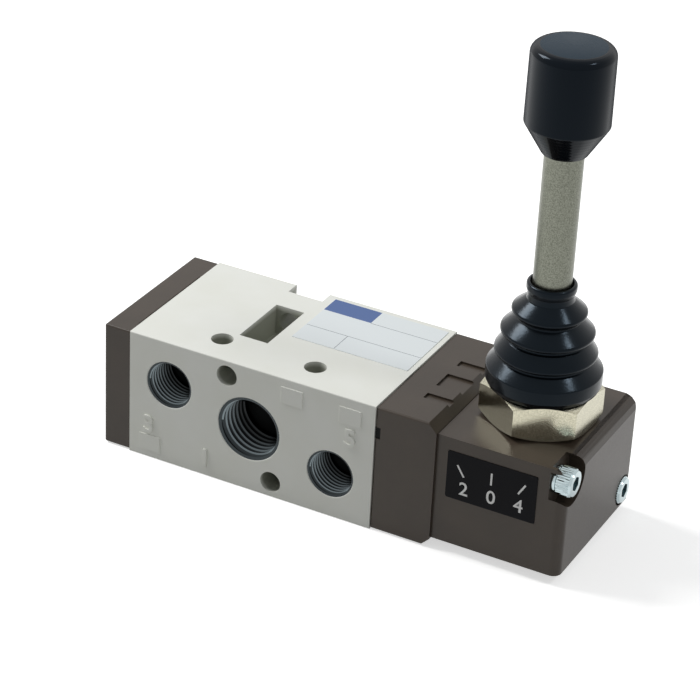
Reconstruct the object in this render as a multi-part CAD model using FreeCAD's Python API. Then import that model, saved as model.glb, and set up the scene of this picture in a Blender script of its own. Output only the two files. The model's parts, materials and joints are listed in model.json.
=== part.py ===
import FreeCAD, Part
import math
import os

V = FreeCAD.Vector

# Hand lever air valve, 5 ports, 3 positions, closed centre, sprung back to the middle.
# All sizes are in millimetres. The origin is the middle of the body's bottom face, under port 1.
# +X runs along the spool towards the lever, -Y is the face with ports 1, 3 and 5, +Z is up.

# Body block
body_depth = 33.6
body_high = 26.4
body_edge = 0.25
spool_bore_r = 4.5
gallery_r = 5.8
gallery_wide = 3.4
port_pitch = 17.5
end_from_port = 8.7
exhaust_shift = 4.05
quarter_port_r = 6.58
quarter_port_deep = 9.8
eighth_port_r = 4.86
eighth_port_deep = 8.6
port_lip = 0.12
drill_point = 0.35
supply_feed_r = 3.0
exhaust_feed_r = 2.2
mount_hole_r = 2.15
side_hole_x = 5.0
side_hole_from_top = 3.2
top_hole_x = 10.0
top_hole_from_front = 6.8
slot_wide = 6.1
slot_len = 14.3
slot_shift_y = 0.25
slot_deep = 6.2
nut_pocket_wide = 7.5
nut_pocket_deep = 3.45
nut_pocket_high = 6.0

# Ends of the body, drawn in a little from its faces
end_inset = 0.2
end_round = 0.45

# End cap
cap_len = 5.8
cap_wall = 1.8
cap_relief_wide = 0.45
cap_relief_deep = 0.6
cap_relief_near_y = -13.5
cap_relief_far_y = 9.5
spring_pocket_gap = 0.1
spring_post_r = 2.2
spring_post_len = 1.4

# Rubber seals between the body and its ends
seal_groove_deep = 0.8
seal_wide = 1.1
seal_offset = 0.9

# Adapter block
adapter_len = 12.3
adapter_chamfer = 1.75
gasket_thick = 1.1
gasket_hole_gap = 0.5
tab_wide = 2.35
tab_mid_z = 20.9
tab_set_back = 0.15
pocket_deep = 0.4
pocket_len = 5.0
pocket_near_y = -7.8
pocket_mid_y = -1.0
pocket_far_y = 6.1
pocket_narrow = 2.0
pocket_broad = 5.0

# Handle block
block_len = 25.25
block_inset = 0.8
block_high = 22.2
block_corner_r = 4.15
block_bevel_high = 3.0
block_bevel_len = 1.1
chamber_r = 5.1
chamber_end_gap = 1.0

# Screws
screw_from_side = 3.95
screw_from_top = 5.6
screw_r = 1.5
screw_clear = 0.15
screw_head_r = 2.75
screw_head_high = 3.0
screw_head_edge = 0.33
hex_socket_flats = 2.5
hex_socket_deep = 1.5
thread_deep = 6.5
thread_end_gap = 0.5
cap_counterbore_r = 3.1
cap_counterbore_deep = 3.2
block_counterbore_r = 5.0
block_counterbore_deep = 2.65
washer_thick = 0.75
washer_r = 2.7
washer_split = 0.5
washer_split_turn = 200.0

# Spool
spool_gap = 0.06
stem_waist_r = 2.9
land_wide = 2.2
ring_wide = 1.2
ring_deep = 1.0
ring_gap = 0.02
land_overlap = 0.2
spool_post_len = 1.0
stem_r = 2.0

# Springs
coil_r = 3.15
wire_r = 0.4
coil_turns = 4.0
spring_end_gap = 0.05

# Rod guide in the adapter
guide_r = 5.6
rod_gap = 0.05
rod_seal_r = 3.6
rod_seal_len = 2.2
guide_floor = 4.2
retainer_thick = 1.0

# Yoke on the end of the spool
yoke_r = 4.7
yoke_back = 8.7
yoke_front = 4.6
yoke_flat = 2.4
yoke_flat_gap = 0.6
yoke_grip = 3.8
pin_r = 0.75
pin_end_gap = 0.2

# Lever, whose length runs from its pivot to the top of its knob
lever_len = 71.0
lever_from_adapter = 12.85
pivot_above_spool = 12.8
lever_swing = 12.5
tip_r = 2.4
tip_gap = 0.1
tip_floor_gap = 0.6
finger_r = 1.5
ball_r = 4.5
ball_gap = 0.06
pivot_pin_r = 1.0
pivot_pin_half = 5.9
pivot_pin_gap = 0.05
neck_r = 2.6
neck_rise = 11.8
neck_stud_r = 2.2
neck_stud_len = 6.0
rod_r = 3.45
rod_stud_r = 2.5
rod_stud_len = 11.0
rod_edge = 0.4
stud_end_gap = 0.4

# Gland nut that holds the ball
nut_flats = 19.7
nut_high = 7.2
nut_chamfer = 30.0
nut_chamfer_r = 0.35
nut_turn = -2.8
nut_flat_front = 30.0
spigot_r = 7.4
spigot_len = 3.9
spigot_wall = 1.2
collar_r = 7.9
collar_high = 2.0
throat_r = 3.75
mouth_r = 5.0

# Seat ring under the ball
seat_high = 4.0
seat_hole_r = 3.0
seat_gap = 0.05
seat_below_spigot = 0.9
lower_hole_r = 3.9

# Rubber boot, heights counted from the nut's top face
boot_band_low_r = 10.3
boot_band_r = 10.68
boot_band_low = 0.9
boot_band_top = 3.4
boot_wall = 1.0
boot_lift = 0.05
ledge_r = (8.75, 7.75, 6.45)
ledge_high = (5.2, 9.1, 12.8)
valley_r = (8.15, 7.1, 5.7)
valley_high = (5.65, 9.6, 13.4)
crest_r = (9.75, 9.1, 7.2)
crest_high = (6.5, 10.6, 14.8)
crest_round = 0.6
valley_round = 0.35
boot_neck_r = 4.3
boot_neck_high = 17.1
boot_lip_r = 4.6
boot_lip_low = 19.1
boot_top_high = 20.4
boot_lip_round = 0.6

# Knob
knob_r = 7.5
knob_top_round = 1.6
knob_len = 21.2
knob_straight = 15.6
knob_shoulder_r = 0.8
knob_foot_r = 4.25
knob_foot_high = 0.9
knob_sleeve = 0.8

# Plates
dial_wide = 17.8
dial_high = 9.8
dial_thick = 0.4
dial_proud = 0.12
dial_mid_x = 11.2
dial_mid_z = 14.7
dial_corner_r = 0.5
rating_len = 24.5
rating_deep = 17.5
rating_thick = 0.1
rating_end_gap = 1.1
rating_back_gap = 1.4

# Places that follow from the sizes above
body_x = port_pitch + end_from_port
cap_x = -body_x - cap_len
adapter_x = body_x + adapter_len
block_x = adapter_x + block_len
side_y = body_depth / 2
block_y = side_y - block_inset
spool_z = body_high / 2
block_z0 = spool_z - block_high / 2
block_z1 = spool_z + block_high / 2
screw_side = side_y - screw_from_side
screw_rise = spool_z - screw_from_top
top_hole_y = top_hole_from_front - side_y
side_hole_z = body_high - side_hole_from_top
lever_x = adapter_x + lever_from_adapter
pivot_z = spool_z + pivot_above_spool
travel = pivot_above_spool * math.radians(lever_swing)
nut_z = block_z1 + nut_high
neck_z = pivot_z + neck_rise
knob_top_z = pivot_z + lever_len
knob_z = knob_top_z - knob_len
rod_z = knob_z + knob_sleeve
screw_seat_x = block_x - block_counterbore_deep
land_r = spool_bore_r - spool_gap
ring_r = spool_bore_r - ring_gap
supply_land_x = gallery_wide / 2 + ring_wide / 2 + land_overlap
exhaust_land_x = port_pitch - supply_land_x
end_land_x = port_pitch + gallery_wide / 2 + ring_wide / 2 + travel + land_overlap / 2
spool_end_x = end_land_x + land_wide / 2
chamber_x = lever_x + yoke_front + travel + chamber_end_gap
spring_floor_x = cap_x + cap_wall
guide_x = -spring_floor_x
pocket_r = spool_bore_r + spring_pocket_gap
seal_in_r = pocket_r + seal_offset
seal_out_r = seal_in_r + seal_wide
tip_floor_z = spool_z - tip_r - tip_floor_gap
seat_z0 = block_z1 - spigot_len - seat_below_spigot
pin_x = lever_x - yoke_back + yoke_grip / 2


# Basic solids
def box(x0, x1, y0, y1, z0, z1):
    return Part.makeBox(x1 - x0, y1 - y0, z1 - z0, V(x0, y0, z0))


def bar(r, start, end):
    start, end = V(*start), V(*end)
    along = end - start
    return Part.makeCylinder(r, along.Length, start, along)


def bar_x(r, x0, x1, y=0.0, z=None):
    z = spool_z if z is None else z
    return bar(r, (x0, y, z), (x1, y, z))


def tube_x(outer, inner, x0, x1, y=0.0, z=None):
    return bar_x(outer, x0, x1, y, z).cut(bar_x(inner, x0 - 1, x1 + 1, y, z))


def hexagon(flats, low, high, centre, axis, turn=0.0):
    """A hexagonal prism from low to high along axis ("x" or "z") through centre."""
    corner_r = flats / math.sqrt(3)
    points = []
    for k in range(7):
        angle = math.radians(60 * k + turn)
        a, b = corner_r * math.cos(angle), corner_r * math.sin(angle)
        if axis == "x":
            points.append(V(low, centre[0] + a, centre[1] + b))
        else:
            points.append(V(centre[0] + a, centre[1] + b, low))
    face = Part.Face(Part.makePolygon(points))
    return face.extrude(V(high - low, 0, 0) if axis == "x" else V(0, 0, high - low))


def rounded(before, corner, after, r):
    """An outline's corner as the start of its round edge and an arc (middle, end)."""
    tip = V(corner[0], corner[1], 0)
    back = (V(before[0], before[1], 0) - tip).normalize()
    on = (V(after[0], after[1], 0) - tip).normalize()
    half = back.getAngle(on) / 2
    start = tip + back * (r / math.tan(half))
    end = tip + on * (r / math.tan(half))
    middle = tip + (back + on).normalize() * (r / math.sin(half) - r)
    return [(start.x, start.y), ((middle.x, middle.y), (end.x, end.y))]


def turned(outline, centre, axis="z"):
    """Turns an outline round an axis. A point is (radius, height), (radius, height, r) is a
    corner rounded to r, and a pair of points ((r, h), (r, h)) is an arc through the first
    to the second."""
    def place(p):
        if axis == "x":
            return V(p[1], centre[0] + p[0], centre[1])
        return V(centre[0] + p[0], centre[1], p[1])
    items = []
    for k, item in enumerate(outline):
        if len(item) == 3:
            items += rounded(outline[k - 1], item, outline[k + 1], item[2])
        else:
            items.append(item)
    edges = []
    here = items[0]
    for item in items[1:] + items[:1]:
        if isinstance(item[0], tuple):
            middle, end = item
            edges.append(Part.Arc(place(here), place(middle), place(end)).toShape())
        else:
            end = item
            edges.append(Part.makeLine(place(here), place(end)))
        here = end
    face = Part.Face(Part.Wire(edges))
    if axis == "x":
        return face.revolve(V(0, centre[0], centre[1]), V(1, 0, 0), 360)
    return face.revolve(V(centre[0], centre[1], 0), V(0, 0, 1), 360)


def screw_places(sign):
    """The two screws of one end, at opposite corners. sign is +1 at the lever end."""
    return [(-screw_side, spool_z + sign * screw_rise), (screw_side, spool_z - sign * screw_rise)]


def half_turned(shape):
    """The same shape turned half round about the body's front-to-back middle line."""
    copy = shape.copy()
    copy.rotate(V(0, 0, spool_z), V(0, 1, 0), 180)
    return copy


# Body with its spool bore, galleries, ports and fixing holes
def port(x, z, r, deep, feed_r, front):
    out = -1 if front else 1
    mouth = out * side_y
    floor = mouth - out * deep
    hole = bar(r, (x, floor, z), (x, mouth + out, z))
    lip = Part.makeCone(r + port_lip, r, port_lip, V(x, mouth, z), V(0, -out, 0))
    drill = Part.makeCone(r, feed_r, (r - feed_r) * drill_point, V(x, floor, z), V(0, -out, 0))
    feed = bar(feed_r, (x, floor, z), (x, out * spool_bore_r * 0.5, z))
    return hole.fuse([lip, drill, feed])


def top_slot():
    slot = box(-side_hole_x - slot_wide / 2, -side_hole_x + slot_wide / 2,
               slot_shift_y - slot_len / 2, slot_shift_y + slot_len / 2,
               body_high - slot_deep, body_high + 1)
    nut = box(-side_hole_x - nut_pocket_wide / 2, -side_hole_x + nut_pocket_wide / 2,
              side_y - nut_pocket_deep, side_y + 1, body_high - nut_pocket_high, body_high + 1)
    return slot.fuse(nut)


def side_hole():
    start = (-side_hole_x, -side_y - 1, side_hole_z)
    end = (-side_hole_x, side_y + 1, side_hole_z)
    return bar(mount_hole_r, start, end)


def valve_body():
    shape = box(-body_x, body_x, -side_y, side_y, 0, body_high)
    shape = shape.makeFillet(body_edge, [e for e in shape.Edges if e.BoundBox.XLength > body_x])
    tools = [bar_x(spool_bore_r, -body_x - 1, body_x + 1)]
    for step in range(-2, 3):
        x = step * port_pitch / 2
        tools.append(bar_x(gallery_r, x - gallery_wide / 2, x + gallery_wide / 2))
    tools.append(port(0, spool_z, quarter_port_r, quarter_port_deep, supply_feed_r, True))
    tools.append(port(-port_pitch, spool_z + exhaust_shift, eighth_port_r, eighth_port_deep,
                      exhaust_feed_r, True))
    tools.append(port(port_pitch, spool_z - exhaust_shift, eighth_port_r, eighth_port_deep,
                      exhaust_feed_r, True))
    for x in (-port_pitch / 2, port_pitch / 2):
        tools.append(port(x, spool_z, quarter_port_r, quarter_port_deep, supply_feed_r, False))
    for x in (-top_hole_x, top_hole_x):
        tools.append(bar(mount_hole_r, (x, top_hole_y, -1), (x, top_hole_y, body_high + 1)))
    tools += [top_slot(), half_turned(top_slot()), side_hole(), half_turned(side_hole())]
    for sign in (-1, 1):
        for y, z in screw_places(sign):
            tools.append(bar_x(screw_r, sign * (body_x - thread_deep), sign * (body_x + 1), y, z))
    return shape.cut(tools)


def end_piece(x0, x1):
    """The rounded outside of a piece that closes an end of the body, before its cuts."""
    shape = box(x0, x1, end_inset - side_y, side_y - end_inset, end_inset, body_high - end_inset)
    outer_x = x0 if abs(x0) > abs(x1) else x1
    rounded = [e for e in shape.Edges if e.BoundBox.XLength > (x1 - x0) / 2
               or (outer_x < 0 and abs(e.BoundBox.XMax - outer_x) < 1e-6)
               or (outer_x > 0 and abs(e.BoundBox.XMin - x0) < 1e-6)]
    return shape.makeFillet(end_round, rounded)


# End cap with the left spring's pocket
def end_cap():
    shape = end_piece(cap_x, -body_x)
    tools = [bar_x(pocket_r, spring_floor_x, -body_x + 1)]
    tools.append(tube_x(seal_out_r, seal_in_r, -body_x - seal_groove_deep, -body_x + 1))
    tools.append(box(-body_x - cap_relief_wide, -body_x + 1, cap_relief_near_y, cap_relief_far_y,
                     body_high - end_inset - cap_relief_deep, body_high))
    for y, z in screw_places(-1):
        tools.append(bar_x(screw_r + screw_clear, cap_x - 1, -body_x + 1, y, z))
        tools.append(bar_x(cap_counterbore_r, cap_x - 1, cap_x + cap_counterbore_deep, y, z))
    shape = shape.cut(tools)
    post = bar_x(spring_post_r, spring_floor_x, spring_floor_x + spring_post_len)
    return shape.fuse(post).removeSplitter()


def end_cap_seal():
    return tube_x(seal_out_r, seal_in_r, -body_x - seal_groove_deep, -body_x)


# Adapter between the body and the handle block
def gasket_outline(x0, x1):
    y = screw_side + screw_head_r
    z = screw_rise + screw_head_r
    pad = box(x0, x1, -y, y, spool_z - z, spool_z + z)
    tab = box(x0, x1, -side_y + end_inset + tab_set_back, 0,
              tab_mid_z - tab_wide / 2, tab_mid_z + tab_wide / 2)
    return pad.fuse(tab)


def adapter_gasket():
    sheet = gasket_outline(body_x, body_x + gasket_thick)
    tools = [bar_x(pocket_r + gasket_hole_gap, body_x - 1, adapter_x)]
    for y, z in screw_places(1):
        tools.append(bar_x(screw_r + gasket_hole_gap, body_x - 1, adapter_x, y, z))
    return sheet.cut(tools).removeSplitter()


def adapter_pocket(mid_y, wide):
    start = adapter_x - adapter_chamfer - pocket_len
    return box(start, adapter_x + 1, mid_y - wide / 2, mid_y + wide / 2,
               body_high - end_inset - pocket_deep, body_high + 1)


def chamfer_edge(z):
    """The wedge taken off the adapter's lever end at its top or bottom edge."""
    inward = -1 if z > spool_z else 1
    reach = adapter_chamfer
    corner = V(adapter_x + 1, -side_y - 1, z - inward)
    points = [corner, V(adapter_x + 1, -side_y - 1, z + inward * (reach + 1)),
              V(adapter_x - reach - 1, -side_y - 1, z - inward), corner]
    return Part.Face(Part.makePolygon(points)).extrude(V(0, body_depth + 2, 0))


def adapter_block():
    shape = end_piece(body_x, adapter_x)
    tools = [gasket_outline(body_x - 1, body_x + gasket_thick)]
    slit = box(body_x - 1, body_x + gasket_thick, -side_y - 1, 0,
               tab_mid_z - tab_wide / 2, tab_mid_z + tab_wide / 2)
    tools.append(slit)
    tools += [chamfer_edge(body_high - end_inset), chamfer_edge(end_inset)]
    tools.append(adapter_pocket(pocket_near_y, pocket_narrow))
    tools.append(adapter_pocket(pocket_mid_y, pocket_broad))
    tools.append(adapter_pocket(pocket_far_y, pocket_narrow))
    tools.append(bar_x(pocket_r, body_x - 1, guide_x))
    tools.append(bar_x(guide_r, guide_x, adapter_x + 1))
    for y, z in screw_places(1):
        tools.append(bar_x(screw_r + screw_clear, body_x - 1, adapter_x + 1, y, z))
    return shape.cut(tools)


# Guide and seal of the spool's stem
def rod_guide():
    outline = [(stem_r + rod_gap, guide_x), (guide_r, guide_x), (guide_r, adapter_x),
               (rod_seal_r, adapter_x), (rod_seal_r, guide_x + guide_floor),
               (stem_r + rod_gap, guide_x + guide_floor)]
    return turned(outline, (0, spool_z), "x")


def rod_seal():
    x0 = guide_x + guide_floor
    x1 = x0 + rod_seal_len
    lip = (rod_seal_r - stem_r) / 3
    outline = [(stem_r + 2 * ring_gap, x0 + lip), (stem_r + 2 * lip, x0), (rod_seal_r, x0),
               (rod_seal_r, x1), (stem_r + 2 * ring_gap, x1)]
    return turned(outline, (0, spool_z), "x")


def seal_retainer():
    x0 = guide_x + guide_floor + rod_seal_len
    return tube_x(rod_seal_r, stem_r + 4 * rod_gap, x0, x0 + retainer_thick)


# Handle block with its chamber, nut thread and screw pockets
def handle_block():
    shape = box(adapter_x, block_x, -block_y, block_y, block_z0, block_z1)
    upright = [e for e in shape.Edges if abs(e.BoundBox.XMin - block_x) < 1e-6
               and e.BoundBox.ZLength > block_high / 2]
    shape = shape.makeFillet(block_corner_r, upright)
    bevel_points = [V(block_x - block_bevel_len, -side_y, block_z1 + 1),
                    V(block_x - block_bevel_len, -side_y, block_z1),
                    V(block_x, -side_y, block_z1 - block_bevel_high),
                    V(block_x + 1, -side_y, block_z1 - block_bevel_high),
                    V(block_x + 1, -side_y, block_z1 + 1)]
    bevel = Part.Face(Part.makePolygon(bevel_points + bevel_points[:1]))
    tools = [bevel.extrude(V(0, body_depth, 0))]
    tools.append(bar_x(chamber_r, adapter_x - 1, chamber_x))
    tools.append(bar(lower_hole_r, (lever_x, 0, spool_z), (lever_x, 0, block_z1)))
    tools.append(bar(spigot_r, (lever_x, 0, seat_z0), (lever_x, 0, block_z1 + 1)))
    for y, z in screw_places(1):
        tools.append(bar_x(screw_r + screw_clear, adapter_x - 1, block_x + 1, y, z))
        tools.append(bar_x(block_counterbore_r, screw_seat_x, block_x + 1, y, z))
    dial = dial_plate_outline(dial_thick - dial_proud, 1.0)
    return shape.cut(tools + [dial])


def dial_plate_outline(sunk, proud):
    """The dial plate's outline, from sunk below the block's front face to proud of it."""
    mid_x = adapter_x + dial_mid_x
    low_z = block_z0 + dial_mid_z - dial_high / 2
    plate = box(mid_x - dial_wide / 2, mid_x + dial_wide / 2, -block_y - proud, -block_y + sunk,
                low_z, low_z + dial_high)
    corners = [e for e in plate.Edges if e.BoundBox.YLength > (sunk + proud) / 2]
    return plate.makeFillet(dial_corner_r, corners)


def position_plate():
    return dial_plate_outline(dial_thick - dial_proud, dial_proud)


# Socket head screws and their spring washers
def socket_screw(seat_x, tip_x, y, z):
    way = 1 if tip_x > seat_x else -1
    head_x = seat_x - way * screw_head_high
    outline = [(0.0, head_x), (screw_head_r, head_x, screw_head_edge), (screw_head_r, seat_x),
               (screw_r, seat_x), (screw_r, tip_x), (0.0, tip_x)]
    screw = turned(outline, (y, z), "x")
    low, high = sorted((head_x - way, head_x + way * hex_socket_deep))
    return screw.cut(hexagon(hex_socket_flats, low, high, (y, z), "x"))


def end_cap_screws():
    seat = cap_x + cap_counterbore_deep
    tip = -body_x + thread_deep - thread_end_gap
    return Part.makeCompound([socket_screw(seat, tip, y, z) for y, z in screw_places(-1)])


def block_screws():
    seat = screw_seat_x + washer_thick
    tip = body_x - thread_deep + thread_end_gap
    return Part.makeCompound([socket_screw(seat, tip, y, z) for y, z in screw_places(1)])


def spring_washers():
    rings = []
    for y, z in screw_places(1):
        ring = tube_x(washer_r, screw_r + screw_clear, screw_seat_x,
                      screw_seat_x + washer_thick, y, z)
        split = box(screw_seat_x - 1, screw_seat_x + 2, y, y + washer_r + 1,
                    z - washer_split / 2, z + washer_split / 2)
        split.rotate(V(0, y, z), V(1, 0, 0), washer_split_turn)
        rings.append(ring.cut(split))
    return Part.makeCompound(rings)


# Spool with its six lands, seal rings and stem
def land_places():
    right = [supply_land_x, exhaust_land_x, end_land_x]
    return sorted(right + [-x for x in right])


def spool():
    end = spool_end_x
    tail = lever_x - yoke_back + yoke_grip
    shape = bar_x(stem_waist_r, -end, end).fuse(bar_x(stem_r, end - 1, tail))
    shape = shape.fuse(bar_x(spring_post_r, -end - spool_post_len, -end + 1))
    for x in land_places():
        shape = shape.fuse(bar_x(land_r, x - land_wide / 2, x + land_wide / 2))
    tools = []
    for x in land_places():
        tools.append(tube_x(land_r + 1, ring_r - ring_deep, x - ring_wide / 2, x + ring_wide / 2))
    tools.append(bar(pin_r, (pin_x, -yoke_r, spool_z), (pin_x, yoke_r, spool_z)))
    return shape.cut(tools).removeSplitter()


def spool_seals():
    rings = []
    for x in land_places():
        low, high = x - ring_wide / 2, x + ring_wide / 2
        crown = ring_wide / 4
        outline = [(ring_r - ring_deep, low), (ring_r - crown, low), (ring_r, low + crown),
                   (ring_r, high - crown), (ring_r - crown, high), (ring_r - ring_deep, high)]
        rings.append(turned(outline, (0, spool_z), "x"))
    return Part.makeCompound(rings)


# Return springs
def coil_spring(x0, x1):
    """A round wire spring whose end coils lie between x0 and x1."""
    rise = x1 - x0 - 2 * wire_r - 2 * spring_end_gap
    pitch = rise / coil_turns
    helix = Part.makeHelix(pitch, rise, coil_r)
    start = V(coil_r, 0, 0)
    section = Part.Wire(Part.makeCircle(wire_r, start, V(0, coil_r * 2 * math.pi, pitch)))
    coil = Part.Wire(helix.Edges).makePipeShell([section], True, True)
    coil.rotate(V(0, 0, 0), V(0, 1, 0), 90)
    coil.translate(V(x0 + wire_r + spring_end_gap, 0, spool_z))
    return coil


def left_return_spring():
    return coil_spring(spring_floor_x, -spool_end_x)


def right_return_spring():
    return coil_spring(spool_end_x, guide_x)


# Yoke that the lever's finger moves
def spool_yoke():
    left = lever_x - yoke_back
    right = lever_x + yoke_front
    shape = bar_x(yoke_r, left, right)
    flat = box(left + yoke_grip + yoke_flat_gap, right + 1, -yoke_r - 1, yoke_r + 1,
               spool_z + yoke_flat, spool_z + yoke_r + 1)
    tools = [flat, bar_x(stem_r, left - 1, left + yoke_grip)]
    tools.append(bar(tip_r + tip_gap, (lever_x, 0, tip_floor_z), (lever_x, 0, spool_z + yoke_r + 1)))
    tools.append(bar(pin_r, (pin_x, -yoke_r - 1, spool_z), (pin_x, yoke_r + 1, spool_z)))
    return shape.cut(tools)


def yoke_pin():
    half = yoke_r - pin_end_gap
    return bar(pin_r, (pin_x, -half, spool_z), (pin_x, half, spool_z))


# Lever with its pivot ball and finger
def height_on(radius, across):
    """How far from the middle of a ball of this radius its surface is across wide."""
    return math.sqrt(radius ** 2 - across ** 2)


def pivot_ball():
    tip_h = height_on(tip_r, finger_r)
    low_h = height_on(ball_r, finger_r)
    high_h = height_on(ball_r, neck_r)
    outline = [(0.0, spool_z - tip_r),
               ((tip_r, spool_z), (finger_r, spool_z + tip_h)),
               (finger_r, pivot_z - low_h),
               ((ball_r, pivot_z), (neck_r, pivot_z + high_h)),
               (neck_r, neck_z), (neck_stud_r, neck_z), (neck_stud_r, neck_z + neck_stud_len),
               (0.0, neck_z + neck_stud_len)]
    return turned(outline, (lever_x, 0)).cut(pivot_pin())


def pivot_pin():
    start = (lever_x, -pivot_pin_half, pivot_z)
    return bar(pivot_pin_r, start, (lever_x, pivot_pin_half, pivot_z))


def lever_rod():
    stud_z = rod_z + rod_stud_len
    hole_z = neck_z + neck_stud_len + stud_end_gap
    outline = [(neck_stud_r, neck_z), (rod_r, neck_z, rod_edge), (rod_r, rod_z),
               (rod_stud_r, rod_z), (rod_stud_r, stud_z, rod_edge), (0.0, stud_z),
               (0.0, hole_z), (neck_stud_r, hole_z)]
    return turned(outline, (lever_x, 0))


def knob():
    hole_top = rod_z + rod_stud_len + stud_end_gap
    outline = [(rod_r, knob_z), (knob_foot_r, knob_z), (knob_foot_r, knob_z + knob_foot_high),
               (knob_r, knob_top_z - knob_straight, knob_shoulder_r),
               (knob_r, knob_top_z, knob_top_round), (0.0, knob_top_z), (0.0, hole_top),
               (rod_stud_r, hole_top), (rod_stud_r, rod_z), (rod_r, rod_z)]
    return turned(outline, (lever_x, 0))


# Gland nut, seat ring and boot around the lever
def gland_nut():
    corner_r = nut_flats / math.sqrt(3)
    flat_r = nut_flats / 2 - nut_chamfer_r
    fall = (corner_r - flat_r) * math.tan(math.radians(nut_chamfer))
    prism = hexagon(nut_flats, block_z1, nut_z, (lever_x, 0), "z", nut_flat_front + nut_turn)
    edge = turned([(0.0, block_z1), (flat_r, block_z1), (corner_r, block_z1 + fall),
                   (corner_r, nut_z - fall), (flat_r, nut_z), (0.0, nut_z)], (lever_x, 0))
    shape = prism.common(edge)
    spigot = bar(spigot_r, (lever_x, 0, block_z1 - spigot_len), (lever_x, 0, block_z1))
    collar = bar(collar_r, (lever_x, 0, nut_z), (lever_x, 0, nut_z + collar_high))
    shape = shape.fuse([spigot, collar]).removeSplitter()
    socket_r = ball_r + ball_gap
    throat_h = height_on(socket_r, throat_r)
    low = block_z1 - spigot_len - 1
    seat_top = seat_z0 + seat_high + seat_gap
    top = nut_z + collar_high + 1
    flare = mouth_r + (mouth_r - throat_r) / (top - 1 - pivot_z - throat_h)
    socket = turned([(0.0, low), (spigot_r - spigot_wall, low), (spigot_r - spigot_wall, seat_top),
                     (socket_r, seat_top), (socket_r, pivot_z),
                     ((height_on(socket_r, throat_h / 2), pivot_z + throat_h / 2),
                      (throat_r, pivot_z + throat_h)),
                     (flare, top), (0.0, top)], (lever_x, 0))
    slot_r = pivot_pin_r + pivot_pin_gap
    slot_end = spigot_r - spigot_wall
    groove = box(lever_x - slot_r, lever_x + slot_r, -slot_end, slot_end, seat_top - 1, pivot_z)
    groove = groove.common(bar(slot_end, (lever_x, 0, seat_top - 1), (lever_x, 0, pivot_z)))
    groove_end = bar(slot_r, (lever_x, -slot_end, pivot_z), (lever_x, slot_end, pivot_z))
    return shape.cut([socket, groove, groove_end])


def ball_seat():
    socket_r = ball_r + ball_gap
    outer = spigot_r - spigot_wall - seat_gap
    top = seat_z0 + seat_high
    top_drop = pivot_z - top
    hole_drop = height_on(socket_r, seat_hole_r)
    top_r = height_on(socket_r, top_drop)
    mid_drop = (top_drop + hole_drop) / 2
    outline = [(lower_hole_r, seat_z0), (outer, seat_z0), (outer, top), (top_r, top),
               ((height_on(socket_r, mid_drop), pivot_z - mid_drop),
                (seat_hole_r, pivot_z - hole_drop))]
    return turned(outline, (lever_x, 0))


def boot_folds():
    """Each fold from the bottom up: the ledge below it, its valley and its crest."""
    return zip(ledge_r, ledge_high, valley_r, valley_high, crest_r, crest_high)


def rubber_boot():
    base = nut_z + boot_lift
    grip = rod_r + rod_gap
    neck_low = nut_z + boot_neck_high - boot_wall
    top = nut_z + boot_top_high
    outer = [(boot_band_low_r, base), (boot_band_r, nut_z + boot_band_low),
             (boot_band_r, nut_z + boot_band_top, crest_round)]
    inner = [(collar_r + boot_lift, base), (collar_r + boot_lift, nut_z + collar_high + boot_lift)]
    for out_r, out_high, in_r, in_high, top_r, top_high in boot_folds():
        outer.append((out_r, nut_z + out_high, valley_round))
        outer.append((in_r, nut_z + in_high, valley_round / 2))
        outer.append((top_r, nut_z + top_high, crest_round))
        inner.append((in_r - boot_wall, nut_z + in_high))
        inner.append((top_r - 1.5 * boot_wall, nut_z + top_high))
    outer.append((boot_neck_r, nut_z + boot_neck_high, valley_round))
    outer.append((boot_lip_r, nut_z + boot_lip_low, boot_lip_round))
    outer.append((boot_lip_r, top, boot_lip_round))
    outer += [(grip, top), (grip, neck_low)]
    inner.append((boot_neck_r - boot_wall / 2, neck_low))
    return turned(outer + inner[::-1], (lever_x, 0))


# Rating plate, bare
def rating_plate():
    right = body_x - rating_end_gap
    back = side_y - rating_back_gap
    return box(right - rating_len, right, back - rating_deep, back,
               body_high, body_high + rating_thick)


parts = {
    "valve_body": valve_body,
    "end_cap": end_cap,
    "end_cap_seal": end_cap_seal,
    "end_cap_screws": end_cap_screws,
    "adapter_gasket": adapter_gasket,
    "adapter_block": adapter_block,
    "rod_guide": rod_guide,
    "rod_seal": rod_seal,
    "seal_retainer": seal_retainer,
    "handle_block": handle_block,
    "position_plate": position_plate,
    "block_screws": block_screws,
    "spring_washers": spring_washers,
    "spool": spool,
    "spool_seals": spool_seals,
    "left_return_spring": left_return_spring,
    "right_return_spring": right_return_spring,
    "spool_yoke": spool_yoke,
    "yoke_pin": yoke_pin,
    "pivot_ball": pivot_ball,
    "pivot_pin": pivot_pin,
    "lever_rod": lever_rod,
    "knob": knob,
    "gland_nut": gland_nut,
    "ball_seat": ball_seat,
    "rubber_boot": rubber_boot,
    "rating_plate": rating_plate,
}

os.makedirs("parts", exist_ok=True)
for name, make in parts.items():
    shape = make()
    solids = len(shape.Solids)
    print(name, "solids", solids, "valid", shape.isValid(), "volume", round(shape.Volume, 2))
    shape.exportStep("parts/" + name + ".step")
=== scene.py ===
# %% [markdown]
# # A hand lever air valve
# The solid model of the valve comes first. It is the fixed frame that every piece here is
# fitted to: lengths are in metres, +X runs along the spool towards the lever, -Y is the face
# with ports 1, 3 and 5, and +Z is up. This lesson gives the solids their finishes, and adds
# what is too fine for them, such as threads, knurls and print.

# %% Load the solid model
import bpy
import json
import math
from mathutils import Matrix, Vector


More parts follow.
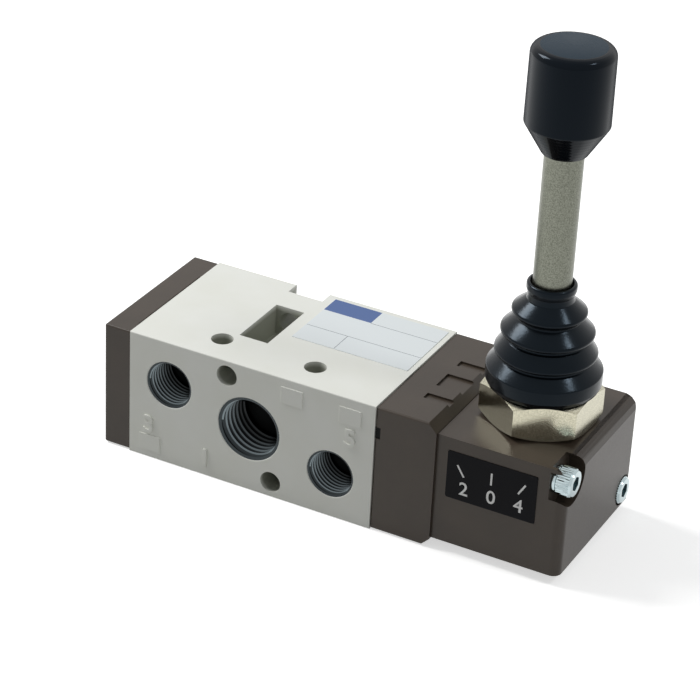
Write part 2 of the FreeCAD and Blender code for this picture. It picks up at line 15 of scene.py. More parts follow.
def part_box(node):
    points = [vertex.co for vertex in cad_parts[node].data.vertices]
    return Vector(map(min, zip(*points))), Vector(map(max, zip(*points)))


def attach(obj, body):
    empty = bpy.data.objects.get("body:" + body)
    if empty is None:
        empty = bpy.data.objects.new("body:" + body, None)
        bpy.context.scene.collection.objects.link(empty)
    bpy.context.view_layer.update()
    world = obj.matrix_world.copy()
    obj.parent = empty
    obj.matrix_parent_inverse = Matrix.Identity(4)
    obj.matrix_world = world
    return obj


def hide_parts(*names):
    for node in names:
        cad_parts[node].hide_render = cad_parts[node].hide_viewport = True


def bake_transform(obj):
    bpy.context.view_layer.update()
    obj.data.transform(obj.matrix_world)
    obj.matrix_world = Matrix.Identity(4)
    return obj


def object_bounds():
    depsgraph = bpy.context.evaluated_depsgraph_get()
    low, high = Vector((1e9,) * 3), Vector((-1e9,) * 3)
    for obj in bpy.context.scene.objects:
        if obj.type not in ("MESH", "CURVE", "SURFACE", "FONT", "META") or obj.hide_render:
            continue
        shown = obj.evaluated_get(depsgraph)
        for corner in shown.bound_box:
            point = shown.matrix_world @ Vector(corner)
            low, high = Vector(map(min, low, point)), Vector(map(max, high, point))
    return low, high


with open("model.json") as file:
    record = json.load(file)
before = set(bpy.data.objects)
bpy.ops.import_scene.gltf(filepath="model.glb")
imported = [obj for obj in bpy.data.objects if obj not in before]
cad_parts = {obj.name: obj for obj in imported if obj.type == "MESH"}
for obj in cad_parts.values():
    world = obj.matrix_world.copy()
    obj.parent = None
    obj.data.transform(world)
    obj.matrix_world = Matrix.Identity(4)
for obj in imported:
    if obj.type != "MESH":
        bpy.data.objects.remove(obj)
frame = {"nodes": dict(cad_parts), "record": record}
solid_low, solid_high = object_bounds()
nodes = frame["nodes"]
mm = 0.001
print("solids", len(nodes), "size in mm", [round(v / mm, 1) for v in solid_high - solid_low])

# %% [markdown]
# ## Camera
# The valve was photographed from the front right and from above, with a long lens, so its
# edges hardly converge. Two angles could aim a camera, but this one was fitted to the edges
# of the body and is rolled a little. So three directions place it: its right, its up and the
# way it looks. A small shift puts the valve where it sits in the picture.

# %% Place the camera
picture_px = 700
sensor_mm = 36.0
focal_px = 2693.4
axis_px = (318.18, 375.48)
camera_place = Vector((209.5, -395.6, 273.2)) * mm
camera_right = Vector((0.8773, 0.4782, 0.0400)).normalized()
camera_forward = Vector((-0.3978, 0.7713, -0.4968)).normalized()
camera_up = camera_right.cross(camera_forward)

bpy.ops.object.select_all(action="DESELECT")
bpy.ops.object.camera_add(location=camera_place)
camera = bpy.context.object
camera.name = "camera"
camera.rotation_euler = Matrix((camera_right, camera_up, -camera_forward)).transposed().to_euler()
camera.data.sensor_width = sensor_mm
camera.data.lens = focal_px * sensor_mm / picture_px
camera.data.shift_x = (picture_px / 2 - axis_px[0]) / picture_px
camera.data.shift_y = (axis_px[1] - picture_px / 2) / picture_px
camera.data.clip_start = 0.01
camera.data.clip_end = 20
bpy.context.scene.camera = camera
bpy.context.scene.view_settings.view_transform = "Standard"
print("lens in mm", round(camera.data.lens, 1))

# %% [markdown]
# ## Colours and nodes
# A colour is written as a hex value, the way a paint chart or a picture gives it. Blender
# works with linear light, so one function turns it. Nodes could be added and linked line by
# line. One function that adds a node with its settings and its links keeps each material
# short enough to read.

# %% Helpers for materials
def linear(hex_colour):
    """The linear colour, with alpha 1, of an sRGB hex value such as "#E6E4DA"."""
    parts = [int(hex_colour[k:k + 2], 16) / 255 for k in (1, 3, 5)]
    turned = [p / 12.92 if p <= 0.04045 else ((p + 0.055) / 1.055) ** 2.4 for p in parts]
    return (*turned, 1.0)


def add_node(tree, kind, settings=None, links=None):
    """Adds a node. Each setting is one of its inputs, or else one of its properties."""
    node = tree.nodes.new(kind)
    for name, value in (settings or {}).items():
        if isinstance(name, int) or name in node.inputs:
            node.inputs[name].default_value = value
        else:
            setattr(node, name, value)
    for name, source in (links or {}).items():
        tree.links.new(source, node.inputs[name])
    return node


def new_finish(name, settings):
    """A material with these settings on its shader. Gives the material, tree and shader."""
    finish = bpy.data.materials.new(name)
    finish.use_nodes = True
    tree = finish.node_tree
    shader = tree.nodes["Principled BSDF"]
    for socket, value in settings.items():
        shader.inputs[socket].default_value = value
    return finish, tree, shader


def place_on(tree, scale=1.0, turn=(0, 0, 0), centre=(0, 0, 0)):
    """Object coordinates, moved to a centre, turned and scaled."""
    where = add_node(tree, "ShaderNodeTexCoord").outputs["Object"]
    moved = add_node(tree, "ShaderNodeVectorMath", {"operation": "SUBTRACT", 1: centre},
                     {0: where})
    return add_node(tree, "ShaderNodeMapping", {"Rotation": turn, "Scale": (scale,) * 3},
                    {"Vector": moved.outputs[0]}).outputs[0]


print("mid grey in linear light", round(linear("#808080")[0], 3))

# %% [markdown]
# ## What sees white
# The picture was taken on white paper in soft light. Metal has to mirror that white, but if
# the paper and the walls lit the valve as strongly, its pale top would burn out. Weaker light
# could save the top, and then the paper would be grey. A Light Path node gives both: it tells
# rays that look from rays that carry light about, and only the first kind sees white.

# %% One switch for what sees white
def white_rays(tree):
    """1 for camera, glossy and transmitted rays, 0 for the light that bounces around."""
    ray = add_node(tree, "ShaderNodeLightPath").outputs
    seen = add_node(tree, "ShaderNodeMath", {"operation": "MAXIMUM"},
                    {0: ray["Is Camera Ray"], 1: ray["Is Glossy Ray"]})
    return add_node(tree, "ShaderNodeMath", {"operation": "MAXIMUM"},
                    {0: seen.outputs[0], 1: ray["Is Transmission Ray"]}).outputs[0]


# %% [markdown]
# ## Floor
# The paper is matt with a faint fibre. It could be a plain white plane, but that would be grey
# next to the white round it. So for looking rays it glows a little and still takes the valve's
# shadow, and for the light that bounces about it is a mid grey. It lies a hair below the valve,
# so that the two don't share a plane.

# %% Floor
floor_size = 6.0
floor_drop = 0.02 * mm
paper_glow = 0.58
bpy.ops.mesh.primitive_plane_add(size=floor_size, location=(0, 0, -floor_drop))
floor = bpy.context.object
floor.name = "floor"
paper, tree, shader = new_finish("white_paper", {
    "Roughness": 0.9, "Specular IOR Level": 0.0, "Base Color": linear("#F2F2F0")})
fibre = add_node(tree, "ShaderNodeTexNoise", {"Scale": 1 / (0.8 * mm), "Detail": 4.0},
                 {"Vector": place_on(tree)})
weave = add_node(tree, "ShaderNodeBump", {"Strength": 0.2, "Distance": 0.02 * mm},
                 {"Height": fibre.outputs["Fac"]})
tree.links.new(weave.outputs["Normal"], shader.inputs["Normal"])
glow = add_node(tree, "ShaderNodeEmission", {"Color": (1, 1, 1, 1), "Strength": paper_glow})
lit = add_node(tree, "ShaderNodeAddShader", None, {0: shader.outputs[0], 1: glow.outputs[0]})
grey = add_node(tree, "ShaderNodeBsdfDiffuse", {"Color": linear("#ADADAB")})
choice = add_node(tree, "ShaderNodeMixShader", None,
                  {0: white_rays(tree), 1: grey.outputs[0], 2: lit.outputs[0]})
tree.links.new(choice.outputs[0], tree.nodes["Material Output"].inputs["Surface"])
floor.data.materials.append(paper)
print("floor across in m", floor_size)

# %% [markdown]
# ## World
# The world stands for a studio's white walls. An environment picture could do that too, but
# here it is plain: a low even light on the valve, and full white for the rays that look.

# %% World
wall_light = 0.28
world = bpy.data.worlds.new("studio")
bpy.context.scene.world = world
world.use_nodes = True
tree = world.node_tree
dim = add_node(tree, "ShaderNodeBackground", {
    "Color": linear("#F4F6FA"), "Strength": wall_light})
white = add_node(tree, "ShaderNodeBackground", {"Color": (1, 1, 1, 1), "Strength": 1.0})
choice = add_node(tree, "ShaderNodeMixShader", None,
                  {0: white_rays(tree), 1: dim.outputs[0], 2: white.outputs[0]})
tree.links.new(choice.outputs[0], tree.nodes["World Output"].inputs["Surface"])
print("world strength", wall_light)

# %% [markdown]
# ## Lamps
# Two square lamps do the rest: a strong one high on the left, so that tops come out more than
# twice as bright as fronts, and a small one on the right that puts a highlight on everything
# glossy. Point lamps would give hard shadows. Wide ones give the soft shadows of the picture.

# %% Lamps
def soft_lamp(name, direction, distance, size, watts):
    """A square lamp in this direction from the valve's middle, which it shines at."""
    aim = Vector(direction).normalized()
    bpy.ops.object.light_add(type="AREA", location=valve_middle + aim * distance)
    lamp = bpy.context.object
    lamp.name = name
    lamp.data.shape = "SQUARE"
    lamp.data.size = size
    lamp.data.energy = watts
    lamp.rotation_euler = aim.to_track_quat("Z", "Y").to_euler()


valve_middle = (solid_low + solid_high) / 2
soft_lamp("left_lamp", (-0.70, -0.05, 0.72), 0.9, 0.35, 6.3)
soft_lamp("right_lamp", (0.63, 0.07, 0.76), 0.9, 0.12, 1.05)

# %% [markdown]
# ## Paints
# The body is die-cast aluminium under a cream baked enamel. Sprayed enamel has a faint
# orange-peel skin, so a bump of about a third of a millimetre breaks up its reflections, and
# slow noise keeps its colour from being dead even. The ends are in a dark brown of the same
# kind. The walls inside the holes get a darker grey-green, a painted shade for the shade that
# falls there. The walls could be picked face by face, but a mask finds them all: what lies
# deeper than a quarter millimetre below the front, the back, the top and the foot.

# %% Painted shade inside the holes
def below_faces(tree, low, high, edge_mm=0.25, fade_mm=0.9):
    """0 on the outer faces and 1 inside the holes, with a soft change between them."""
    middle, half = (low + high) / 2, (high - low) / 2
    where = add_node(tree, "ShaderNodeTexCoord").outputs["Object"]
    moved = add_node(tree, "ShaderNodeVectorMath", {"operation": "SUBTRACT", 1: middle},
                     {0: where})
    folded = add_node(tree, "ShaderNodeVectorMath", {"operation": "ABSOLUTE"},
                      {0: moved.outputs[0]})
    beyond = add_node(tree, "ShaderNodeVectorMath", {"operation": "SUBTRACT", 1: half},
                      {0: folded.outputs[0]})
    parts = add_node(tree, "ShaderNodeSeparateXYZ", None, {"Vector": beyond.outputs[0]})
    nearest = add_node(tree, "ShaderNodeMath", {"operation": "MAXIMUM"},
                       {0: parts.outputs["Y"], 1: parts.outputs["Z"]})
    return add_node(tree, "ShaderNodeMapRange", {
        "From Min": -edge_mm * mm, "From Max": -(edge_mm + fade_mm) * mm},
        {"Value": nearest.outputs[0]}).outputs["Result"]


# %% Baked enamel
def enamel(name, light, dark, roughness, peel_mm, peel_deep_mm, ior=1.5, hole_shade=None):
    """Sprayed and baked enamel: two near colours, mottled, with an orange-peel skin. Hole shade
    is the painted shade colour in the holes, and the corners of the box that the mask measures
    from."""
    finish, tree, shader = new_finish(name, {"IOR": ior})
    spot = place_on(tree)
    cloud = add_node(tree, "ShaderNodeTexNoise", {"Scale": 1 / (9 * mm), "Detail": 3.0},
                     {"Vector": spot})
    tint = add_node(tree, "ShaderNodeValToRGB", None, {"Fac": cloud.outputs["Fac"]})
    tint.color_ramp.elements[0].position = 0.3
    tint.color_ramp.elements[1].position = 0.7
    tint.color_ramp.elements[0].color = linear(dark)
    tint.color_ramp.elements[1].color = linear(light)
    colour = tint.outputs["Color"]
    # Inside the holes the colour turns darker: painted shade, not a colour of the metal.
    if hole_shade:
        colour = add_node(tree, "ShaderNodeMixRGB", {"Color2": linear(hole_shade[0])},
                          {"Fac": below_faces(tree, *hole_shade[1:]), "Color1": colour}).outputs[0]
    tree.links.new(colour, shader.inputs["Base Color"])
    peel = add_node(tree, "ShaderNodeTexNoise", {"Scale": 1 / (peel_mm * mm), "Detail": 2.0},
                    {"Vector": spot})
    gloss = add_node(tree, "ShaderNodeMapRange", {"To Min": roughness - 0.05,
                                                  "To Max": roughness + 0.05},
                     {"Value": peel.outputs["Fac"]})
    tree.links.new(gloss.outputs["Result"], shader.inputs["Roughness"])
    skin = add_node(tree, "ShaderNodeBump", {"Strength": 1.0, "Distance": peel_deep_mm * mm},
                    {"Height": peel.outputs["Fac"]})
    tree.links.new(skin.outputs["Normal"], shader.inputs["Normal"])
    return finish


body_low, body_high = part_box("valve_body")
# Cream enamel is half glossy: the top looks even, and the front shows a soft sheen.
# The grey-green given with it is painted shade for the walls inside the holes.
cream_enamel = enamel("cream_enamel", "#ECEDE6", "#E8E9E0", 0.45, 0.35, 0.004,
                      hole_shade=("#A2A498", body_low, body_high))
# Brown enamel is thinner and shinier, so the faces that catch the lamp turn grey-brown.
brown_enamel = enamel("brown_enamel", "#433A31", "#3C342C", 0.35, 0.30, 0.008, 1.38)
print("paints", cream_enamel.name, brown_enamel.name)

# %% [markdown]
# ## Metals
# Each metal could have its own nodes, but they differ in a few numbers only. So one function
# makes them all: a base colour with the metallic value at 1, a roughness that a fine grain
# varies, and a bump from the same grain. The grain is as wide as the plating's frost or the
# grinder's marks, from 0.08 to 0.26 mm.

# %% Plated, turned and cast metal
def plated(name, colour, roughness, grain_mm, grain_deep_mm, spread=0.06, dark=None):
    """Plated metal with a fine even frost, speckled where a darker colour is given."""
    finish, tree, shader = new_finish(name, {"Metallic": 1.0, "Base Color": linear(colour)})
    grain = add_node(tree, "ShaderNodeTexNoise", {"Scale": 1 / (grain_mm * mm), "Detail": 3.0},
                     {"Vector": place_on(tree)})
    if dark:
        speck = add_node(tree, "ShaderNodeValToRGB", None, {"Fac": grain.outputs["Fac"]})
        speck.color_ramp.elements[0].position = 0.36
        speck.color_ramp.elements[1].position = 0.64
        speck.color_ramp.elements[0].color = linear(dark)
        speck.color_ramp.elements[1].color = linear(colour)
        tree.links.new(speck.outputs["Color"], shader.inputs["Base Color"])
    gloss = add_node(tree, "ShaderNodeMapRange", {"To Min": roughness - spread,
                                                  "To Max": roughness + spread},
                     {"Value": grain.outputs["Fac"]})
    tree.links.new(gloss.outputs["Result"], shader.inputs["Roughness"])
    frost = add_node(tree, "ShaderNodeBump", {"Strength": 1.0, "Distance": grain_deep_mm * mm},
                     {"Height": grain.outputs["Fac"]})
    tree.links.new(frost.outputs["Normal"], shader.inputs["Normal"])
    return finish


# Zinc on steel is bright and a little blue, and each ridge of a screw head flashes by itself.
zinc_plate = plated("zinc_plated_steel", "#AFBDC0", 0.12, 0.15, 0.004, 0.04)
# Nickel on a blasted bar is dull and grey-green, with dark specks where the blast bit deep.
nickel_frost = plated("frosted_nickel", "#7F8176", 0.34, 0.24, 0.022, 0.10, "#63655B")
# Nickel on a milled nut is warm and smooth, and each flat mirrors what it faces.
nickel_bright = plated("bright_nickel", "#C6C2AE", 0.18, 0.24, 0.010, 0.06, "#A9A591")
# The inner parts: steel with a soft grey shine, yellow brass, and dull grey anodising.
ground_steel = plated("ground_steel", "#B9B9B6", 0.25, 0.10, 0.003)
turned_brass = plated("turned_brass", "#D8B872", 0.25, 0.12, 0.003)
hard_anodised = plated("hard_anodised_aluminium", "#9A9B98", 0.35, 0.08, 0.002)
print("metals", [m.name for m in (zinc_plate, nickel_frost, nickel_bright, ground_steel)])

# %% [markdown]
# ## Darker down the ports
# The tapped holes are bright at the mouth and nearly black further down, where hardly any
# light comes, and that dark is painted shade. The crests of the thread get a lighter copy of the
# metal and its flanks a darker one, as painted light and painted shade. Lamps alone would leave
# the depth too light, because the metal there mirrors the white outside. So there are two such
# metals, and the colour of each falls with the depth below the nearer face, which Object
# coordinates give.

# %% Painted shade by depth
dark_from_mm = 7


def painted_depth_shade(name, colour, deep_colour, roughness):
    """Cut metal that goes from one colour at the mouth to a darker one, dark_from_mm down, as
    painted shade.
    """
    finish = plated(name, colour, roughness, 0.12, 0.004)
    tree = finish.node_tree
    where = add_node(tree, "ShaderNodeSeparateXYZ", None, {"Vector": place_on(tree)})
    aside = add_node(tree, "ShaderNodeMath", {"operation": "ABSOLUTE"}, {0: where.outputs["Y"]})
    depth = add_node(tree, "ShaderNodeMapRange", {
        "From Min": body_high.y, "From Max": body_high.y - dark_from_mm * mm},
        {"Value": aside.outputs[0]})
    shade = add_node(tree, "ShaderNodeValToRGB", None, {"Fac": depth.outputs["Result"]})
    shade.color_ramp.elements[0].color = linear(colour)
    shade.color_ramp.elements[1].color = linear(deep_colour)
    tree.links.new(shade.outputs["Color"], tree.nodes["Principled BSDF"].inputs["Base Color"])
    return finish


# One metal in two copies: the darker flank is painted shade, the lighter crest painted light.
shaded_flank = painted_depth_shade("tapped_metal_painted_shade", "#34393B", "#0B0C0C", 0.30)
lit_crest = painted_depth_shade("thread_crest_painted_light", "#6A7377", "#232526", 0.22)
print("port metals", shaded_flank.name, lit_crest.name)

# %% [markdown]
# ## Rubber and plastics
# The boot is moulded nitrile rubber, and its mould was polished. The seals are a dull rubber,
# and the plates are printed films. None of them is quite even: the mould or the roller leaves
# a faint texture, which a bump gives. Real dents could too, but they are far too fine.

# %% Rubber, films and inks
def moulded(name, colour, roughness, ior, peel_mm, peel_deep_mm, tint="#FFFFFF"):
    """A moulded or printed surface with a faint texture. Tint colours its reflections."""
    finish, tree, shader = new_finish(name, {
        "Base Color": linear(colour), "IOR": ior, "Specular Tint": linear(tint)})
    peel = add_node(tree, "ShaderNodeTexNoise", {"Scale": 1 / (peel_mm * mm), "Detail": 2.0},
                    {"Vector": place_on(tree)})
    gloss = add_node(tree, "ShaderNodeMapRange", {"To Min": roughness - 0.04,
                                                  "To Max": roughness + 0.04},
                     {"Value": peel.outputs["Fac"]})
    tree.links.new(gloss.outputs["Result"], shader.inputs["Roughness"])
    skin = add_node(tree, "ShaderNodeBump", {"Strength": 1.0, "Distance": peel_deep_mm * mm},
                    {"Height": peel.outputs["Fac"]})
    tree.links.new(skin.outputs["Normal"], shader.inputs["Normal"])
    return finish


# Polished nitrile rubber is black with long bluish highlights on its folds.
boot_rubber = moulded("glossy_nitrile_rubber", "#06090D", 0.20, 1.40, 0.45, 0.012, "#8FA3B4")
seal_rubber = moulded("dull_nitrile_rubber", "#0B0B0B", 0.60, 1.20, 0.2, 0.004)
# The dial's film is matt, so its print reads from all sides. The rating film is a cool white.
dial_film = moulded("black_printed_film", "#0A0A0E", 0.35, 1.16, 0.4, 0.002)
label_film = moulded("white_printed_film", "#E3E9EA", 0.30, 1.5, 0.6, 0.003)
# Screen inks lie flat and even, a little less glossy than the film.
white_ink = moulded("white_screen_ink", "#F0F0EE", 0.45, 1.5, 0.3, 0.002)
blue_ink = moulded("blue_screen_ink", "#3F5F98", 0.35, 1.5, 0.3, 0.002)
grey_ink = moulded("grey_screen_ink", "#7C8488", 0.40, 1.5, 0.3, 0.002)
print("rubber, films and inks", len(bpy.data.materials), "materials so far")

# %% [markdown]
# ## Turned black knob
# The knob's skin is black anodising over turned aluminium. The lathe tool leaves fine rings
# round the axis, on the top face most of all, and they spread each highlight across the
# rings. Rings of 0.1 mm are too fine for the picture, so they are drawn 0.45 mm apart. The top
# face has a bluer and paler copy of the finish, a painted sheen for the light that it mirrors.

# %% Black anodised turning
def turned_black_finish(name, colour, ior, axis_at):
    """Black anodised aluminium with rings round an upright axis."""
    finish, tree, shader = new_finish(name, {
        "Base Color": linear(colour), "IOR": ior, "Roughness": 0.17, "Anisotropic": 0.5,
        "Specular Tint": linear("#A3B8CC")})
    spot = place_on(tree, centre=axis_at)
    ring_mm = 0.45
    rings = add_node(tree, "ShaderNodeTexWave", {
        "wave_type": "RINGS", "rings_direction": "Z", "Scale": math.pi / 10 / (ring_mm * mm),
        "Distortion": 0.4, "Detail": 1.0}, {"Vector": spot})
    marks = add_node(tree, "ShaderNodeBump", {"Strength": 1.0, "Distance": 0.006 * mm},
                     {"Height": rings.outputs["Fac"]})
    glance = add_node(tree, "ShaderNodeLayerWeight", {"Blend": 0.5}).outputs["Facing"]
    dull = add_node(tree, "ShaderNodeMapRange", {
        "From Min": 0.55, "From Max": 0.9, "To Min": 0.13, "To Max": 0.75}, {"Value": glance})
    tree.links.new(dull.outputs["Result"], shader.inputs["Roughness"])
    tree.links.new(marks.outputs["Normal"], shader.inputs["Normal"])
    round_axis = add_node(tree, "ShaderNodeTangent", {"direction_type": "RADIAL", "axis": "Z"})
    tree.links.new(round_axis.outputs["Tangent"], shader.inputs["Tangent"])
    return finish


knob_low, knob_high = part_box("knob")
knob_axis = ((knob_low.x + knob_high.x) / 2, 0, 0)
turned_black = turned_black_finish("black_anodised_aluminium", "#080B10", 1.30, knob_axis)
# The top face's copy is paler and bluer: a painted sheen.
top_painted_sheen = turned_black_finish("anodised_top_painted_sheen", "#2A3843", 1.15, knob_axis)
print("knob finishes", turned_black.name, top_painted_sheen.name)

# %% [markdown]
# ## Spun pieces
# Most of what follows is round: the boot, the screws, the threads. A round piece is drawn as
# one half profile and spun about its axis. Cylinders and cones could be joined up instead,
# but a profile is what a turner works from: a short list of corners, each with a radius, a
# height and the rounding of that corner.

# %% Draw a profile and spin it
same_place = 0.0005 * mm


def rounded_profile(corners, arc_steps=6):
    """Corners of (radius, height) or (radius, height, rounding) as points along the line."""
    points = []
    for k, corner in enumerate(corners):
        here = Vector(corner[:2])
        if len(corner) == 2:
            points.append(here)
            continue
        back = (Vector(corners[k - 1][:2]) - here).normalized()
        on = (Vector(corners[(k + 1) % len(corners)][:2]) - here).normalized()
        half = back.angle(on) / 2
        middle = here + (back + on).normalized() * (corner[2] / math.sin(half))
        start = here + back * (corner[2] / math.tan(half)) - middle
        end = here + on * (corner[2] / math.tan(half)) - middle
        for step in range(arc_steps + 1):
            # slerp gives a direction only, so it is made as long as the rounding's radius
            points.append(middle + start.slerp(end, step / arc_steps).normalized() * corner[2])
    return points


def draw_line(name, points):
    """A new mesh that is a line through these points, drawn corner by corner."""
    bpy.ops.object.select_all(action="DESELECT")
    bpy.ops.mesh.primitive_plane_add(size=mm, location=points[0])
    line = bpy.context.object
    line.name = name
    bpy.ops.object.mode_set(mode="EDIT")
    bpy.ops.mesh.select_all(action="SELECT")
    bpy.ops.mesh.merge(type="CENTER")
    for here, there in zip(points, points[1:]):
        bpy.ops.mesh.extrude_region_move(TRANSFORM_OT_translate={"value": there - here})
    return line


def spin_piece(name, corners, base, along=(0, 0, 1), steps=96, arc_steps=6, smooth_deg=40):
    """A closed profile in mm, spun about the axis that leaves base along this direction. The
    line comes back to its start, or runs from the axis to the axis."""
    along = Vector(along)
    out = Vector((0, 1, 0)) if abs(along.x) > 0.5 else Vector((1, 0, 0))
    points = [base + (out * r + along * h) * mm for r, h in rounded_profile(corners, arc_steps)]
    if corners[0][0] > 0:
        points.append(points[0])
    piece = draw_line(name, points)
    bpy.ops.mesh.select_all(action="SELECT")
    bpy.ops.mesh.spin(steps=steps, angle=2 * math.pi, center=base, axis=along)
    bpy.ops.mesh.select_all(action="SELECT")
    bpy.ops.mesh.remove_doubles(threshold=same_place)
    bpy.ops.mesh.normals_make_consistent(inside=False)
    bpy.ops.object.mode_set(mode="OBJECT")
    bpy.ops.object.transform_apply(location=True, rotation=True, scale=True)
    bpy.ops.object.shade_smooth_by_angle(angle=math.radians(smooth_deg))
    return piece


# %% [markdown]
# ## The boot
# The lever comes out of a moulded rubber boot: a base ring that grips the nut, three folds
# that let it bend, and a lip that hugs the rod. Each fold has a broad cone on top, a round
# crest and a deep groove beneath. A stack of rings could pass for it, but it is one closed
# skin with a real wall, which the recess round the rod shows. At rest it stands straight.

# %% Rubber boot
rod_low, rod_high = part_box("lever_rod")
nut_low, nut_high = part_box("gland_nut")
rod_r = 3.56
nut_collar_high = 2.0
nut_top = nut_high.z - nut_collar_high * mm
boot_base = Vector(((rod_low.x + rod_high.x) / 2, (rod_low.y + rod_high.y) / 2, nut_top))

boot_outside = [
    (10.30, 0.06), (10.68, 0.9, 0.60), (10.68, 3.4, 0.45),
    (8.75, 5.2, 0.35), (8.15, 5.65, 0.30), (9.75, 6.5, 0.60),
    (7.75, 9.1, 0.35), (7.10, 9.6, 0.30), (9.10, 10.6, 0.60),
    (6.45, 12.8, 0.35), (5.70, 13.4, 0.30), (7.20, 14.8, 0.60),
    (4.34, 17.1, 0.35), (4.28, 18.2, 0.60), (4.58, 19.2, 0.50), (4.58, 20.4, 0.50),
    (rod_r + 0.42, 20.4, 0.12), (rod_r + 0.04, 19.8)]
boot_inside = [
    (rod_r + 0.04, 16.1), (3.8, 16.1), (5.7, 14.8), (4.7, 13.4), (5.5, 12.2), (7.5, 10.6),
    (6.1, 9.6), (6.8, 8.5), (8.2, 6.5), (7.1, 5.65), (7.95, 3.9), (7.95, 0.06)]
boot = spin_piece("boot", boot_outside + boot_inside, boot_base, steps=128)
boot.data.materials.append(boot_rubber)
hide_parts("rubber_boot")
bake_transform(boot)
print("boot faces", len(boot.data.polygons))

# %% [markdown]
# ## Rod and knob
# The rod is plated round bar, and the knob is turned from bar and black anodised. Its profile
# is a flat top that meets a broad round shoulder in a crisp line, a straight side, and a cone
# that ends just over the rod. A bevelled cylinder would round the shoulder and lose the line.
# So both are spun, as they would be on a lathe.

# %% Turned rod and knob
knob_long, knob_straight = 19.85, 14.2
foot = boot_base.copy()
foot.z = knob_high.z - knob_long * mm
knob = spin_piece("turned_knob", [
    (0, knob_long), (5.85, knob_long), (7.5, knob_long - 0.3, 1.5),
    (7.62, knob_long - knob_straight, 0.5), (4.35, 0.35, 0.4), (4.1, 0.0, 0.1),
    (rod_r + 0.03, 0.0), (rod_r + 0.03, 1.0), (0, 1.0)], foot, smooth_deg=25)
knob.data.materials.append(turned_black)
knob.data.materials.append(top_painted_sheen)
# The faces of the flat top take the paler copy, the painted sheen.
for face in knob.data.polygons:
    on_top = face.center.z > knob_high.z - 0.01 * mm
    face.material_index = 1 if on_top else 0
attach(knob, "hand_lever")
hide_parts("knob")

rod_base = boot_base.copy()
rod_base.z = rod_low.z
into_knob = 0.8
rod_long = (foot.z - rod_low.z) / mm + into_knob
socket_r, socket_deep = 2.22, 6.4
rod = spin_piece("ground_rod", [
    (0, rod_long), (rod_r, rod_long), (rod_r, 0.0, 0.4), (socket_r, 0.0),
    (socket_r, socket_deep), (0, socket_deep)], rod_base)
rod.data.materials.append(nickel_frost)
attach(rod, "hand_lever")
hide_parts("lever_rod")
print("knob and rod long in mm", knob_long, round(rod_long, 1))

# %% [markdown]
# ## Cutters
# Pockets, holes and recesses are made as a mill or a drill makes them: a cutter of the right
# size is put where it has to cut, and a Boolean takes its shape away. Insets and extrudes
# could sink a square pocket, but not a round one that breaks out through an edge.

# %% Helpers that pick corners and cut
past = 1  # how far a cutter passes the face that it opens, in mm


def pick_corners(piece, wanted):
    """Selects the corners for which wanted, given a place in mm, is true. Ends in edit mode."""
    bpy.ops.object.mode_set(mode="EDIT")
    bpy.ops.mesh.select_all(action="DESELECT")
    bpy.ops.object.mode_set(mode="OBJECT")
    for corner in piece.data.vertices:
        corner.select = wanted(corner.co / mm)
    bpy.ops.object.mode_set(mode="EDIT")


def cut_out(piece, cutter):
    """Cuts the cutter's shape out of the piece, and removes the cutter."""
    bpy.ops.object.select_all(action="DESELECT")
    bpy.context.view_layer.objects.active = piece
    cut = piece.modifiers.new("cut", "BOOLEAN")
    cut.object = cutter
    bpy.ops.object.modifier_apply(modifier=cut.name)
    bpy.data.objects.remove(cutter)


def round_cutter(r, start, end, sides=64):
    """A cylinder in mm between two points."""
    start, end = Vector(start), Vector(end)
    along = end - start
    bpy.ops.object.select_all(action="DESELECT")
    bpy.ops.mesh.primitive_cylinder_add(
        vertices=sides, radius=r * mm, depth=along.length * mm,
        location=(start + end) / 2 * mm, rotation=along.to_track_quat("Z", "Y").to_euler())
    return bpy.context.object


def box_cutter(low, high):
    """A box in mm from one corner to the opposite one."""
    low, high = Vector(low), Vector(high)
    bpy.ops.object.select_all(action="DESELECT")
    bpy.ops.mesh.primitive_cube_add(size=1, location=(low + high) / 2 * mm)
    cutter = bpy.context.object
    cutter.scale = (high - low) * mm
    bpy.ops.object.transform_apply(location=True, rotation=True, scale=True)
    return cutter


print("cutters pass an open face by", past, "mm")

# %% [markdown]
# ## Handle block
# The block is a casting whose end face is planed. It has a small round on the front upright
# edge, next to none on the back one, and its top rolls over and drops to the end face, which
# it meets in a crisp line. One bevel modifier would treat all these edges alike. So the block
# starts as a cube, each upright edge gets its own bevel, and bisects that lean over more and
# more plane the roll.

# %% Block with its two round upright edges
low, high = (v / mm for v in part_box("handle_block"))
end_proud = 0.3
end_x = high.x + end_proud
block = box_cutter(low, (end_x, high.y, high.z))
block.name = "planed_block"
for side_y, edge_r in ((low.y, 1.8), (high.y, 0.45)):
    pick_corners(block, lambda place: (place - Vector((end_x, side_y, place.z))).length < 0.01)
    bpy.ops.mesh.select_mode(type="VERT")
    bpy.ops.mesh.select_mode(type="EDGE")
    bpy.ops.mesh.bevel(offset=edge_r * mm, segments=8, affect="EDGES")
    bpy.ops.mesh.select_mode(type="VERT")
    bpy.ops.object.mode_set(mode="OBJECT")
print("block in mm", [round(v, 2) for v in (end_x - low.x, high.y - low.y, high.z - low.z)])

